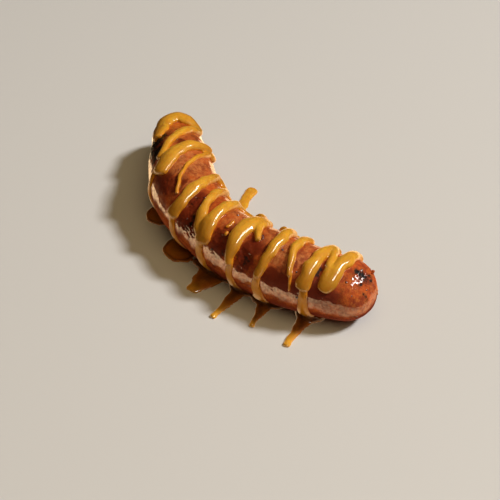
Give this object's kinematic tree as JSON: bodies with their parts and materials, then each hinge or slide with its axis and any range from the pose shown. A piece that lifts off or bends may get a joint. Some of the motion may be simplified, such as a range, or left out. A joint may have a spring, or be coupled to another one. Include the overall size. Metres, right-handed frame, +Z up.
{
  "type": "grilled sausage",
  "caption": "Bent grilled sausage lying on its side, with a zigzag of mustard squeezed across its top and thin runs of it spread at its foot.",
  "frame": {"origin": "centre of the whole part's bounding box, at the level of the surface that it lies on", "axes": "+X from the far end to the near end with the knot, +Y towards the inside of the bend, +Z up"},
  "size_m": [0.1582, 0.0677, 0.0336],
  "materials": {
    "casing": "browned and oily, charred in patches",
    "mustard": "wet and glossy"
  },
  "bodies": {
    "root": {"sausage": "casing"}
  },
  "joints": []
}
